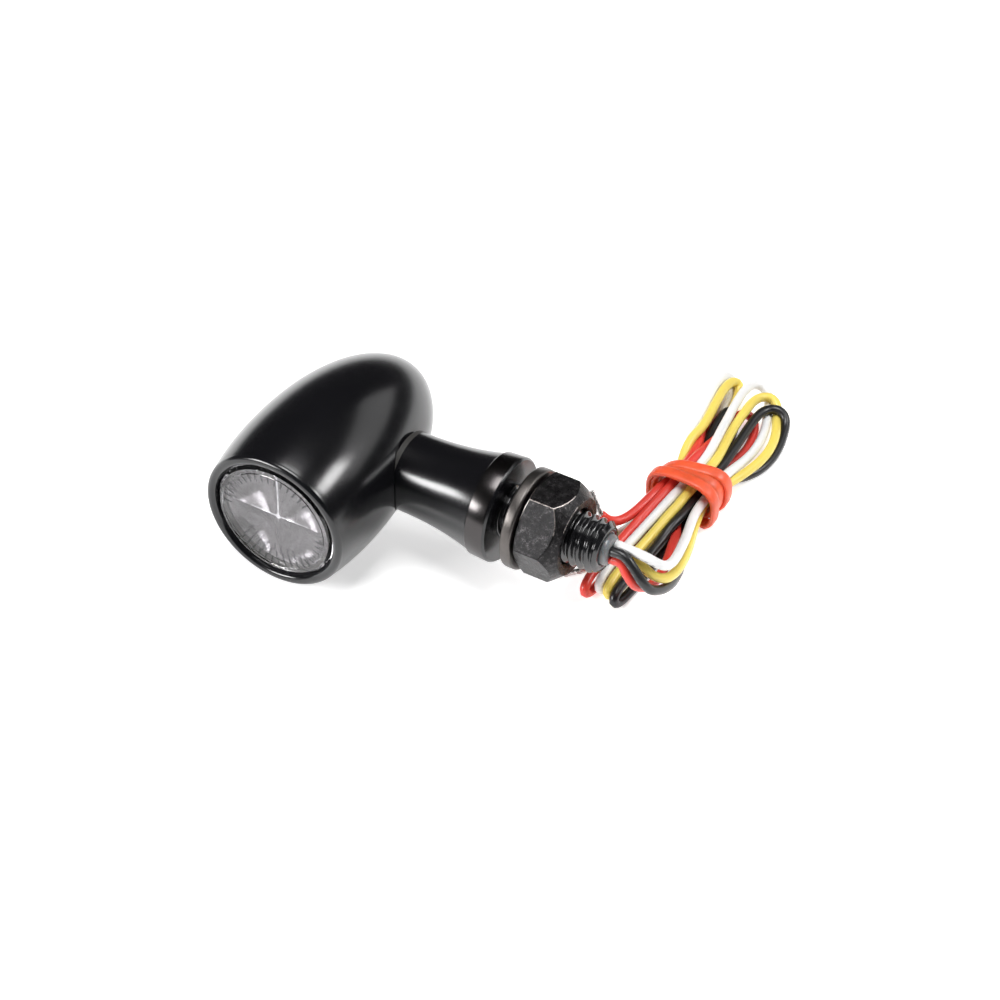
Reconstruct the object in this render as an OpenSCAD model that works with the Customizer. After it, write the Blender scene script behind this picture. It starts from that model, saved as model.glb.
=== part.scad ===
// Bullet turn signal on a flared stem, with an M8 hollow stud and four leads.
// Origin: centre of the flange's seat face. +X out along the stud, -Y the way
// the light shines, +Z up. The belly of the housing rests at floor_z.

/* [Housing] */
// Distance from the flange seat to the housing's axis
reach = 27.3; // [25:0.1:30]
// Greatest radius of the housing
body_r = 12; // [11.6:0.05:12.2]
// Distance from the stem's axis to the front lip
nose_l = 18.8; // [18.6:0.1:20]
// Distance from the stem's axis to the tip of the tail
tail_l = 17.6; // [17:0.1:20]
// Distance in front of the stem's axis where the housing is widest
belly_y = 8.5; // [8:0.1:9]
// Radius of the lip's crest
lip_r = 10.5; // [10.4:0.05:10.7]

/* [Light] */
// Radius of the lens
lens_r = 9.3; // [9.1:0.05:9.35]
// Thickness of the lens
lens_t = 2.3; // [2:0.1:2.4]
// Half the spacing of the four optics
optic_pitch = 3.9; // [3.7:0.1:4]
// Radius of the round boards
board_r = 9.1; // [8.6:0.1:9.2]

/* [Stem and stud] */
// Radius of the stem where it leaves the housing
stem_r = 5.8; // [5.5:0.05:5.9]
// Radius of the polished band at the seat
band_r = 7.8; // [7.5:0.05:8]
// Length of the polished band
band_l = 2.4; // [2:0.1:3]
// Radius of the stud over its thread
stud_r = 3.95; // [3.9:0.01:3.98]
// Length of stud that stands out of the seat
stud_out = 15.2; // [15:0.1:18]
// Length of stud inside the stem
stud_in = 9; // [8:0.1:10]
// Radius of the stud's bore
stud_bore_r = 2.3; // [2.2:0.05:2.4]

/* [Washer and nut] */
// Gap left for the bracket between seat and washer
bracket_gap = 2.05; // [1.85:0.05:2.4]
// Thickness of the lock washer
washer_t = 1.95; // [1.8:0.05:2]
// Outer radius of the lock washer
washer_r = 7.4; // [7.2:0.05:7.4]
// Width of the nut across its flats
nut_af = 13; // [12.8:0.1:13]
// Height of the nut
nut_h = 6.5; // [6:0.1:6.5]

/* [Leads] */
// Diameter of each lead over its insulation
lead_d = 1.4; // [1.2:0.05:1.4]
// Half the spacing of the four leads in the stud
lead_pitch = 0.75; // [0.72:0.01:0.8]
// Diameter of the tinned strands
strand_d = 0.9; // [0.8:0.05:1]
// Thickness of the rubber band's wraps
wrap_t = 0.9; // [0.8:0.1:1]

/* [Hidden] */
$fn = 64;
slack = 0.1;                               // clearance round drop-in pieces
bullet_x = -reach;                         // housing axis, along Y
floor_z = -body_r;                         // what the belly rests on
front_y = -nose_l;                         // plane of the lip
seat_y = front_y + 0.3;                    // front face of the lens
optic_y = seat_y + lens_t;                 // front face of the optic's plate
board_y = front_y + 7.8;                   // front face of the LED board
board_t = 1.2;
driver_y = -5.8;                           // front face of the driver board
driver_t = 1;
driver_r = 7.6;
cavity_r = 7.8;
spigot_r = 4.5;                            // stem's spigot in the housing
spigot_end = bullet_x + 7.2;
shoulder_x = bullet_x + 11.2;              // stem's shoulder in the housing
seal_t = 0.8;
stem_bore_r = 2.2;
plug_face = stud_out + 1;                  // where the leads leave the plug
nut_x = bracket_gap + washer_t;
nut_bore_r = stud_r + 0.2;
nut_turn = 24;                             // how far round the nut stands at rest
hank_z = floor_z + wrap_t;                 // underside of the leads in the wraps
wrap_y = [21.5, 28];
wrap_x = [11.6, 19.4];                     // width of the leads in the wraps
wrap_top = -6;                             // top of the leads in the wraps

// Each lead's route: its free stretch from the plug to the hank, and its
// tail from the hank to the root of its tinned strands.
white_out = [[16.2, .75, .75], [18.4, .75, .75], [20.9, 1, .3], [22.4, 2.2, -1.3],
    [22.8, 4.4, -2.9], [22.3, 7.4, -4.1], [21.5, 10.6, -5.2], [20.6, 13.8, -6.2],
    [19.6, 17, -7.1], [18.8, 19.8, -7.7]];
yellow_out = [[16.2, .75, -.75], [18.4, .75, -.75], [20.2, .9, -1.5], [21.8, 1.4, -3],
    [23, 3.2, -4.4], [23.1, 5.9, -5.4], [22.5, 9.3, -6.4], [21.5, 12.8, -7.3],
    [20.3, 16.2, -8.3], [19.2, 19.4, -8.9]];
black_out = [[16.2, -.75, .75], [18.2, -.75, .75], [19.8, -1, -.4], [21.2, -1.2, -2],
    [22.3, -.5, -3.8], [22.9, 1.4, -5.3], [23, 4, -6.7], [22.3, 7.6, -8.3],
    [21.2, 11.2, -9.5], [19.8, 15, -10], [18.2, 18.8, -9.9]];
red_out = [[16.2, -.75, -.75], [17.8, -.75, -.75], [19, -1.2, -2], [20.1, -1.1, -3.4],
    [20.7, .6, -5.1], [20.7, 3, -6.8], [20.4, 6.4, -8], [19.6, 10.2, -8.6],
    [18.4, 14, -8.7], [17, 17.6, -8.8]];
white_tail = [[11.9, 20, -10.4], [11.2, 18, -10.9], [10.2, 15.4, -11.3], [9, 12, -11.3]];
yellow_tail = [[12.4, 20, -9], [11.7, 17, -9.7], [11, 13.5, -10.7], [10.5, 9.5, -11.3],
    [9.4, 5.4, -11.3]];
black_tail = [[13.8, 21, -9.2], [13.9, 19, -9.4]];
red_tail = [[12, 20, -7.4], [11.5, 17, -7.8], [10.5, 14.2, -8.2], [9.2, 12.2, -7.4],
    [8.2, 11.4, -6.1]];
white_tip = [7.8, 9, -11.4];
yellow_tip = [6.9, 2.9, -11.4];
black_tip = [13.9, 15.8, -9.7];
red_tip = [6, 12.3, -3.2];

function unit(v) = v / norm(v);
function tangents(p) = [for (i = [0:len(p) - 1])
    unit(p[min(i + 1, len(p) - 1)] - p[max(i - 1, 0)])];
function sides_of(t, i = 0, n = [0, 0, 1]) = i == len(t) ? [] :
    let (m = unit(n - (n * t[i]) * t[i])) concat([m], sides_of(t, i + 1, m));

// Places something made along Z so that it runs along +Y from the housing's axis
module on_bullet(y) translate([bullet_x, y, 0]) rotate([-90, 0, 0]) children();
// Places something made along Z so that it runs along +X from the stud's axis
module on_stud(x) translate([x, 0, 0]) rotate([0, 90, 0]) children();
// Repeats something at the four optics' places
module at_optics() for (i = [-1, 1], j = [-1, 1])
    translate([i * optic_pitch, j * optic_pitch, 0]) children();

// Tube of round section along points
module tube(points, r, n = 8) {
    t = tangents(points);
    s = sides_of(t);
    last = (len(points) - 1) * n;
    rings = [for (i = [0:len(points) - 1], k = [0:n - 1])
        points[i] + r * (cos(360 * k / n) * s[i] + sin(360 * k / n) * cross(t[i], s[i]))];
    walls = [for (i = [0:len(points) - 2], k = [0:n - 1])
        let (a = i * n + k, b = i * n + (k + 1) % n) [a, a + n, b + n, b]];
    polyhedron(rings, concat([[for (k = [0:n - 1]) k]], walls,
        [[for (k = [n - 1:-1:0]) last + k]]));
}

// Radius of the housing's outside, y measured from the stem's axis
function body_at(y) = let (u = (y + belly_y) / (tail_l + belly_y))
    u > 0 ? body_r * sqrt(max(0, 1 - pow(u, 2.1)))
    : body_r - 0.0101 * pow(y + belly_y, 2);

module housing() {
    lip_y = front_y + 0.8;
    outside = concat([for (i = [0:6]) let (y = lip_y + (-belly_y - lip_y) * i / 6) [body_at(y), y]],
        [for (i = [1:22]) let (a = 90 * i / 22, y = -belly_y + (tail_l + belly_y) * sin(a))
            [i == 22 ? 0 : body_at(y), y]]);
    inside = [[0, 8.5], [4.5, 8.5], [cavity_r, 1], [cavity_r, board_y + board_t],
        [lens_r + slack, board_y + board_t], [lens_r + slack, front_y + 0.9],
        [lip_r - 0.5, front_y + 0.15], [lip_r - 0.25, front_y], [lip_r, front_y],
        [lip_r + 0.45, front_y + 0.25]];
    color("#101012") difference() {
        on_bullet(0) rotate_extrude($fn = 96) polygon(concat(inside, outside));
        on_stud(spigot_end) cylinder(r = spigot_r, h = reach);
        on_stud(shoulder_x - seal_t) cylinder(r = stem_r + 0.2, h = reach);
    }
}

module lens() color("#9aa0a4") on_bullet(seat_y) {
    cylinder(r1 = lens_r - 0.4, r2 = lens_r, h = 0.4);
    translate([0, 0, 0.4]) cylinder(r = lens_r, h = lens_t - 0.4);
}

module lens_seal() color("#1a1a1a") on_bullet(optic_y) difference() {
    cylinder(r = lens_r - 0.1, h = 0.7);
    translate([0, 0, -1]) cylinder(r = lens_r - 0.9, h = 3);
}

module collimator_optic() color("#d8dde0") on_bullet(optic_y) {
    cylinder(r = lens_r - 1, h = 0.8);
    at_optics() translate([0, 0, 0.8])
        cylinder(r1 = optic_pitch - 0.1, r2 = 1.6, h = board_y - optic_y - 1.8, $fn = 40);
}

module led_board() color("#e8e8e0") on_bullet(board_y) difference() {
    cylinder(r = board_r, h = board_t);
    for (i = [-1, 1]) translate([i * 1.2, 6.6, -1]) cylinder(r = 0.35, h = 4, $fn = 24);
    for (i = [-1, 1]) translate([i * 1.2, -6.6, -1]) cylinder(r = 0.35, h = 4, $fn = 24);
}

module led_packages() color("#f2d060") on_bullet(board_y - 0.8) at_optics()
    translate([-1.5, -1.5, 0]) cube([3, 3, 0.8]);

module link_pins() color("#c9a24a")
    for (i = [-1, 1], j = [-1, 1]) on_bullet(board_y - 0.4) translate([i * 1.2, j * 6.6, 0])
        cylinder(r = 0.32, h = driver_y + driver_t + 0.5 - board_y, $fn = 24);

module driver_board() color("#1f5a34") on_bullet(driver_y) difference() {
    cylinder(r = driver_r, h = driver_t);
    for (i = [-1, 1], j = [-1, 1]) translate([i * 1.2, j * 6.6, -1])
        cylinder(r = 0.35, h = 4, $fn = 24);
    for (i = [0:3]) translate([wire_x(i), -wire_z(i), -1]) cylinder(r = 0.5, h = 4, $fn = 24);
}

module driver_resistors() color("#202020") for (i = [0:3])
    translate([bullet_x - 4.6 + 2.4 * i, driver_y - 0.55, 2.6]) cube([1.2, 0.55, 2]);

module driver_regulator() color("#181818")
    translate([bullet_x - 5.4, driver_y - 1.5, -5.2]) cube([5, 1.5, 4]);

module protection_diode() color("#242424")
    translate([bullet_x + 1, driver_y - 2, -5]) cube([4.3, 2, 2.6]);

module filter_capacitor() color("#8a7350")
    translate([bullet_x + 3.3, driver_y - 1.6, -1.8]) cube([2.6, 1.6, 3.2]);

module stem() {
    flare = [for (i = [0:14]) let (s = i / 14)
        [stem_r + (band_r - 0.15 - stem_r) * pow(s, 2.2),
            shoulder_x + (-band_l - shoulder_x) * s]];
    edge = [[band_r, -band_l + 0.15], [band_r - 0.05, -0.3], [band_r - 0.35, 0]];
    core = [[stud_r, 0], [stud_r, -stud_in], [stem_bore_r, -stud_in], [stem_bore_r, spigot_end],
        [spigot_r - 0.4, spigot_end], [spigot_r, spigot_end + 0.4], [spigot_r, shoulder_x]];
    color("#0e0e10") on_stud(0) rotate_extrude($fn = 96) polygon(concat(core, flare, edge));
}

module stem_seal() color("#202022") on_stud(shoulder_x - seal_t) difference() {
    cylinder(r = stem_r, h = seal_t);
    translate([0, 0, -1]) cylinder(r = spigot_r, h = 3);
}

module threaded_stud() color("#0c0c0d") on_stud(-stud_in) rotate_extrude() polygon([
    [stud_bore_r, 0], [stud_r, 0], [stud_r, stud_in + stud_out - 0.7],
    [stud_r - 0.7, stud_in + stud_out], [stud_bore_r, stud_in + stud_out]]);

module cable_seal() color("#9c9c98") difference() {
    on_stud(stud_out - 4) rotate_extrude() polygon([[0, 0], [stud_bore_r, 0],
        [stud_bore_r, 4.4], [stud_bore_r - 0.3, 4.8], [stud_bore_r - 0.5, 5], [0, 5]]);
    for (j = [-1, 1], k = [-1, 1]) translate([0, j * lead_pitch, k * lead_pitch])
        on_stud(0) cylinder(r = lead_d / 2, h = 2 * stud_out, $fn = 24);
}

// Where the four leads meet the driver board, measured from the housing's axis
function wire_x(i) = -2.4 + 1.6 * i;
function wire_z(i) = i == 0 || i == 3 ? lead_pitch : -lead_pitch;

// Lead from its hole in the driver board, through the stem, to the plug's face
module inner_lead(i, y) {
    x = bullet_x + wire_x(i);
    translate([0, y, wire_z(i)]) on_stud(x - lead_d / 2)
        cylinder(r = lead_d / 2, h = plug_face - x + lead_d / 2, $fn = 24);
    translate([x, driver_y - 0.3, wire_z(i)]) rotate([-90, 0, 0])
        cylinder(r = strand_d / 2, h = y - driver_y + 0.3, $fn = 24);
}

module inner_lead_black() color("#161616") inner_lead(3, -lead_pitch);
module inner_lead_red() color("#e2453a") inner_lead(2, -lead_pitch);
module inner_lead_yellow() color("#efe06a") inner_lead(1, lead_pitch);
module inner_lead_white() color("#f4f4f2") inner_lead(0, lead_pitch);

module lock_washer() color("#5d544d") on_stud(bracket_gap) difference() {
    rotate_extrude() polygon([[stud_r + 0.15, 0.15], [stud_r + 0.3, 0], [washer_r - 0.3, 0],
        [washer_r, 0.3], [washer_r, washer_t - 0.3], [washer_r - 0.3, washer_t],
        [stud_r + 0.3, washer_t], [stud_r + 0.15, washer_t - 0.15]]);
    translate([0, 6, washer_t / 2]) rotate([25, 0, 0]) cube([0.7, 12, 6], center = true);
}

module hex_nut() color("#1b1a1a") on_stud(nut_x) difference() {
    intersection() {
        rotate(nut_turn) cylinder(r = nut_af / sqrt(3), h = nut_h, $fn = 6);
        rotate_extrude() polygon([[0, 0], [nut_af / 2 - 0.1, 0], [nut_af / sqrt(3) + 0.1, 0.75],
            [nut_af / sqrt(3) + 0.1, nut_h - 0.75], [nut_af / 2 - 0.1, nut_h], [0, nut_h]]);
    }
    translate([0, 0, -1]) cylinder(r = nut_bore_r, h = nut_h + 2);
    translate([0, 0, -0.01]) cylinder(r1 = nut_bore_r + 0.4, r2 = nut_bore_r, h = 0.4);
    translate([0, 0, nut_h - 0.39]) cylinder(r1 = nut_bore_r, r2 = nut_bore_r + 0.4, h = 0.4);
}

module lead_black() color("#161616") { tube(black_out, lead_d / 2); tube(black_tail, lead_d / 2); }
module lead_red() color("#e2453a") { tube(red_out, lead_d / 2); tube(red_tail, lead_d / 2); }
module lead_yellow() color("#efe06a") { tube(yellow_out, lead_d / 2); tube(yellow_tail, lead_d / 2); }
module lead_white() color("#f4f4f2") { tube(white_out, lead_d / 2); tube(white_tail, lead_d / 2); }

// Envelope of the folded leads: narrow loops under the stud, the waist in the
// wraps, and the wide loops behind
module lead_hank() color("#d9c97a") difference() {
    intersection() {
        translate([0, 0, floor_z]) linear_extrude(-floor_z) {
            waist = [wrap_x[1] - wrap_x[0], wrap_y[1] - wrap_y[0]];
            hull() {
                translate([14, 2.8]) circle(r = 4, $fn = 32);
                translate([wrap_x[0], wrap_y[0]]) square(waist);
            }
            hull() {
                translate([wrap_x[0], wrap_y[0]]) square(waist);
                translate([14.8, 46]) circle(r = 7.6, $fn = 32);
            }
        }
        translate([0, 0, 0]) rotate([90, 0, 90]) linear_extrude(30) polygon([[-3, floor_z],
            [60, floor_z], [60, -8.8], [40, -7.5], [wrap_y[1], wrap_top], [wrap_y[0], wrap_top],
            [12, -8.1], [-3, -8.1]]);
    }
    translate([0, wrap_y[0], floor_z - 1]) cube([30, wrap_y[1] - wrap_y[0], wrap_t + 1]);
}

module rounded(x, z, r) for (i = [0, 1]) translate([i == 0 ? x[0] : x[0] + r, i == 0 ? z[0] + r : z[0]])
    square(i == 0 ? [x[1] - x[0], z[1] - z[0] - 2 * r] : [x[1] - x[0] - 2 * r, z[1] - z[0]]);

module rubber_band() color("#e8452c") translate([0, wrap_y[1], 0]) rotate([90, 0, 0])
    linear_extrude(wrap_y[1] - wrap_y[0]) difference() {
        union() {
            rounded([wrap_x[0] - wrap_t, wrap_x[1] + wrap_t], [floor_z, wrap_top + wrap_t], 2);
            for (x = [wrap_x[0] - wrap_t + 2, wrap_x[1] + wrap_t - 2],
                z = [floor_z + 2, wrap_top + wrap_t - 2]) translate([x, z]) circle(r = 2);
        }
        translate([wrap_x[0], hank_z]) square([wrap_x[1] - wrap_x[0], wrap_top - hank_z]);
    }

// Bare strands that continue a tail to their tip
module tinned_end(tail, tip) color("#c4c6c8") tube([tail[len(tail) - 1], tip], strand_d / 2);

module tinned_end_black() tinned_end(black_tail, black_tip);
module tinned_end_red() tinned_end(red_tail, red_tip);
module tinned_end_yellow() tinned_end(yellow_tail, yellow_tip);
module tinned_end_white() tinned_end(white_tail, white_tip);

housing();
lens();
lens_seal();
collimator_optic();
led_board();
led_packages();
link_pins();
driver_board();
driver_resistors();
driver_regulator();
protection_diode();
filter_capacitor();
stem();
stem_seal();
threaded_stud();
cable_seal();
inner_lead_black();
inner_lead_red();
inner_lead_yellow();
inner_lead_white();
lock_washer();
hex_nut();
lead_black();
lead_red();
lead_yellow();
lead_white();
lead_hank();
rubber_band();
tinned_end_black();
tinned_end_red();
tinned_end_yellow();
tinned_end_white();
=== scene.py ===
"""Bullet turn signal on a flared stem, with a hollow threaded stud, a nut and tied leads."""

import math

import bpy
import numpy as np
from mathutils import Matrix, Vector


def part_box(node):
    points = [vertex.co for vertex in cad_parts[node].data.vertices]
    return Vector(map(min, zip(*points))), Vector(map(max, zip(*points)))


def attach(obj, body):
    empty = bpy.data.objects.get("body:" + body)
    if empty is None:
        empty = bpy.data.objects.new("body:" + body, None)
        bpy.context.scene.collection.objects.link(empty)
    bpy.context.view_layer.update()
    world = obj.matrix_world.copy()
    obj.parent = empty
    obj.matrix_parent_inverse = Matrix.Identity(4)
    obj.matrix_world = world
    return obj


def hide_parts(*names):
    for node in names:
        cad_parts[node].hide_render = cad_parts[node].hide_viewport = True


bl_info = {
    "name": "Bullet turn signal",
    "version": (1, 0, 0),
    "blender": (4, 5, 0),
    "location": "View3D > Sidebar > Turn signal",
    "description": "Builds the visible pieces of a bullet turn signal round its packed parts",
    "category": "Object",
}

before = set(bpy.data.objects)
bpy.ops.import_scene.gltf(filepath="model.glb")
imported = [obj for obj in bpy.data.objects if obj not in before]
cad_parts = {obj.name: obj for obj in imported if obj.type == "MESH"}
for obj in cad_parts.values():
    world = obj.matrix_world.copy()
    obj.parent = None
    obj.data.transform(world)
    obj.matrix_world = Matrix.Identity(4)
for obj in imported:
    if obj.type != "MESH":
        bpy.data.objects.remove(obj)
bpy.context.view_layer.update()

MM = 0.001
X_AXIS = (1, 0, 0)
Y_AXIS = (0, 1, 0)
HOUSING_LOW, HOUSING_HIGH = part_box("housing")
HOUSING_X = (HOUSING_LOW.x + HOUSING_HIGH.x) / 2  # axis of the housing, along Y
FLOOR_Z = HOUSING_LOW.z
MERGE = 2e-6

# Driving sizes, in millimetres
PITCH = 1.25
STUD_RADIUS = 3.95
STUD_BORE = 2.3
STUD_INNER_END = -9
STUD_OUTER_END = 15.2
LEAD_OFFSET = 0.75  # each lead's place beside the stud's axis
NUT_LOW, NUT_HIGH = 4.0, 10.5
NUT_ACROSS_FLATS = 13.0
NUT_BORE = 4.15
NUT_TURN = 54  # degrees that one corner stands round from +Y
WASHER_LOW, WASHER_HIGH = 2.07, 3.98
WASHER_INNER, WASHER_OUTER = 4.1, 7.4
BELLY_RADIUS = 12
BELLY_Y = -8.5  # where the housing is widest
TAIL_REACH = 26.1  # from the widest place to the tip of the tail
SOCKET_RADIUS = 4.5  # hole in the housing for the stem's spigot
LENS_RADIUS = 9.3
LENS_BACK, LENS_FRONT = -16.2, -18.5
LIP_CENTRE = (10.32, -18.05)  # radius and place of the rolled lip's middle
LIP_ROUND = 0.75

# Each lead from the plug to the root of its bare strands, in millimetres: out of
# the stud, through the wraps, round the far and near folds, and out as a tail.
ROUTES = {
    "white": (
        (16.2, 0.75, 0.75), (18.4, 0.75, 0.75), (20.9, 1, 0.3), (22.4, 2.2, -1.3),
        (22.8, 4.4, -2.9), (22.3, 7.4, -4.1), (21.5, 10.6, -5.2), (20.6, 13.8, -6.2),
        (19.6, 17, -7.1), (18.8, 19.8, -7.7), (18.6, 23, -7.8), (18.4, 28, -8),
        (18.9, 32, -8.7), (19.3, 36.5, -9.6), (18.9, 41, -10.3), (17.7, 45.5, -10.8),
        (16.3, 49.4, -11.1), (14.8, 52.2, -11.2), (13.2, 53.4, -10.8), (12.1, 52.2, -10.2),
        (12.1, 48.8, -9.3), (12.9, 44, -8.6), (13.7, 39, -8), (14.6, 33.5, -7.3),
        (15.2, 28, -6.7), (15.1, 23, -6.7), (14.7, 20, -6.9), (14.1, 17, -7.6),
        (13.5, 13.5, -8.4), (13.1, 10, -8.8), (12.9, 6.5, -8.9), (12.9, 3.4, -8.9),
        (13, 1.6, -9.2), (13.2, 0.8, -10.1), (13.5, 1.7, -11.1), (13.7, 5, -11.3),
        (13.9, 10, -11.3), (14.2, 15, -11.1), (14.4, 19.5, -10.6), (14.5, 23, -10.4),
        (14.3, 28, -10.4), (13.2, 33, -10.9), (11.9, 39, -11.3), (10.5, 45, -11.3),
        (9.5, 50, -11.2), (8.6, 52.8, -10.7), (7.8, 51.9, -9.8), (7.9, 48.5, -9.2),
        (9, 42.5, -8.9), (10.5, 37, -8.9), (12.3, 32, -9), (13.7, 28, -9.1),
        (13.6, 24, -9.4), (11.9, 20, -10.4), (11.2, 18, -10.9), (10.2, 15.4, -11.3),
        (9, 12, -11.3),
    ),
    "yellow": (
        (16.2, 0.75, -0.75), (18.4, 0.75, -0.75), (20.2, 0.9, -1.5), (21.8, 1.4, -3),
        (23, 3.2, -4.4), (23.1, 5.9, -5.4), (22.5, 9.3, -6.4), (21.5, 12.8, -7.3),
        (20.3, 16.2, -8.3), (19.2, 19.4, -8.9), (18.4, 23, -9.1), (18.6, 28, -9.4),
        (19.9, 32, -9.8), (21, 36.4, -10), (21, 41, -10.3), (19.7, 45.2, -10.6),
        (18.3, 48.6, -10.8), (16.7, 50.6, -10.6), (15, 50.5, -10), (14.3, 48.2, -9.4),
        (14.5, 44, -8.9), (15.1, 39, -8.3), (15.9, 33.5, -7.5), (16.6, 28, -6.7),
        (16.5, 23, -6.7), (16.3, 20, -7), (15.8, 16.5, -7.8), (15.3, 13.5, -8.4),
        (14.9, 10, -8.8), (14.6, 6.5, -8.9), (14.5, 3.2, -8.9), (14.5, 1.3, -9.2),
        (14.7, 0.5, -10.1), (15, 1.4, -11.1), (15.2, 5, -11.3), (15.4, 10, -11.3),
        (15.7, 15, -11.1), (15.9, 19.5, -10.6), (15.9, 23, -10.4), (15.7, 28, -10.4),
        (14.6, 33, -10.9), (13.3, 39, -11.3), (12, 45, -11.3), (11, 49.5, -11.1),
        (10.2, 51.8, -10.4), (9.5, 50.9, -9.5), (9.5, 47.5, -8.8), (10.2, 42, -8.3),
        (11.2, 36.5, -8.1), (12, 32, -8.2), (12.4, 28, -8.6), (12.5, 24, -8.8),
        (12.4, 20, -9), (11.7, 17, -9.7), (11, 13.5, -10.7), (10.5, 9.5, -11.3),
        (9.4, 5.4, -11.3),
    ),
    "black": (
        (16.2, -0.75, 0.75), (18.2, -0.75, 0.75), (19.8, -1, -0.4), (21.2, -1.2, -2),
        (22.3, -0.5, -3.8), (22.9, 1.4, -5.3), (23, 4, -6.7), (22.3, 7.6, -8.3),
        (21.2, 11.2, -9.5), (19.8, 15, -10), (18.2, 18.8, -9.9), (17, 22.5, -9.3),
        (17.2, 28, -9.6), (18.8, 31.5, -10.4), (20.7, 34.7, -11.1), (21.6, 38.6, -11.3),
        (21.1, 43, -11.3), (19.9, 46.6, -11.2), (18.4, 48.4, -10.7), (16.9, 48.3, -10.1),
        (16.2, 46, -9.6), (16.4, 42, -9.3), (16.9, 37, -8.9), (17.2, 32.5, -8.4),
        (17.4, 28, -8), (17.4, 23, -7.9), (17.4, 20, -8), (17.2, 16.5, -8.5),
        (16.8, 13, -9), (16.5, 9.5, -9.3), (16.2, 6, -9.2), (16, 2.4, -9.1),
        (16, 0.3, -9.4), (16.2, -0.5, -10.2), (16.5, 0.4, -11.1), (16.8, 4.5, -11.3),
        (17, 9.5, -11.3), (17.2, 14.5, -11.2), (17.4, 19.5, -10.7), (17.3, 23, -10.4),
        (17.1, 28, -10.6), (16.1, 33, -11.2), (14.8, 38, -11.3), (13.4, 42.5, -11.3),
        (12.3, 45.2, -10.9), (11.6, 45.4, -10.1), (11.6, 43, -9.6), (12.2, 38.5, -9.4),
        (13.1, 33.5, -9), (14.1, 28, -8.1), (14, 24, -8.2), (13.8, 21, -9.2),
        (13.9, 19, -9.4),
    ),
    "red": (
        (16.2, -0.75, -0.75), (17.8, -0.75, -0.75), (19, -1.2, -2), (20.1, -1.1, -3.4),
        (20.7, 0.6, -5.1), (20.7, 3, -6.8), (20.4, 6.4, -8), (19.6, 10.2, -8.6),
        (18.4, 14, -8.7), (17, 17.6, -8.8), (15.4, 23, -9.2), (15.7, 28, -9.4),
        (16.8, 32, -10), (17.6, 36.5, -10.9), (17.4, 41, -11.3), (16.2, 45, -11.3),
        (14.7, 46.6, -10.9), (13.5, 45.6, -10.3), (13.2, 42.5, -9.8), (13.3, 38, -9.3),
        (13.6, 33, -8), (13.8, 28, -6.8), (13.7, 23, -6.7), (13.3, 20, -7),
        (12.8, 16.5, -7.8), (12.2, 13.2, -8.5), (11.8, 9.8, -8.9), (11.5, 6, -9),
        (11.4, 2.2, -9), (11.5, 0.1, -9.3), (11.7, -0.8, -10.2), (12, 0.2, -11.1),
        (12.3, 4.2, -11.3), (12.5, 9.5, -11.3), (12.8, 15, -11.2), (13.1, 19.5, -10.7),
        (13.1, 23, -10.4), (12.8, 28, -10.4), (11.6, 33, -10.9), (10.3, 38.5, -11.3),
        (9.1, 43.5, -11.3), (8.4, 46.8, -10.9), (8, 47.2, -10.2), (8.3, 45, -9.9),
        (9.5, 40.5, -9.9), (11.4, 35.5, -9), (12.8, 31, -7.9), (13.1, 27, -7.8),
        (12.5, 23, -7.4), (12, 20, -7.4), (11.5, 17, -7.8), (10.5, 14.2, -8.2),
        (9.2, 12.2, -7.4), (8.2, 11.4, -6.1),
    ),
}
TIPS = {
    "white": (7.8, 9, -11.4),
    "yellow": (6.9, 2.9, -11.4),
    "black": (13.9, 15.8, -9.7),
    "red": (6, 12.3, -3.2),
}


# ---------------------------------------------------------------- helpers


def select_only(obj):
    """Leaves one object selected and active."""
    bpy.ops.object.select_all(action="DESELECT")
    obj.select_set(True)
    bpy.context.view_layer.objects.active = obj


def apply_modifier(obj, kind, **settings):
    """Adds a modifier with these settings and applies it."""
    select_only(obj)
    modifier = obj.modifiers.new(kind, kind)
    for key, value in settings.items():
        setattr(modifier, key, value)
    bpy.ops.object.modifier_apply(modifier=modifier.name)


def carve(obj, tool, operation="DIFFERENCE"):
    """Cuts obj with a tool, or keeps what both share, and throws the tool away."""
    apply_modifier(obj, "BOOLEAN", operation=operation, solver="EXACT", object=tool)
    bpy.data.objects.remove(tool)


def turned(name, profile, axis, centre, steps=128, sweep=math.tau):
    """Spins a profile of (radius, place along the axis), in millimetres, round an axis."""
    along = Vector(axis)
    points = [Vector(centre) + (along * a + Vector((0, 0, 1)) * r) * MM for r, a in profile]
    bpy.ops.object.select_all(action="DESELECT")
    bpy.ops.mesh.primitive_plane_add(size=MM, location=points[0])
    obj = bpy.context.object
    obj.name = obj.data.name = name
    bpy.ops.object.transform_apply(location=True, rotation=True, scale=True)
    bpy.ops.object.mode_set(mode="EDIT")
    bpy.ops.mesh.select_all(action="SELECT")
    bpy.ops.mesh.merge(type="CENTER")
    for before, after in zip(points, points[1:]):
        bpy.ops.mesh.extrude_region_move(TRANSFORM_OT_translate={"value": after - before})
    bpy.ops.mesh.select_all(action="SELECT")
    bpy.ops.mesh.spin(steps=steps, angle=sweep, center=centre, axis=axis)
    bpy.ops.mesh.select_all(action="SELECT")
    bpy.ops.mesh.remove_doubles(threshold=MERGE)
    if sweep < math.tau:
        bpy.ops.mesh.select_all(action="DESELECT")
        bpy.ops.mesh.select_non_manifold(extend=False)
        bpy.ops.mesh.fill()
        bpy.ops.mesh.select_all(action="SELECT")
    bpy.ops.mesh.normals_make_consistent(inside=False)
    bpy.ops.object.mode_set(mode="OBJECT")
    return obj


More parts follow.
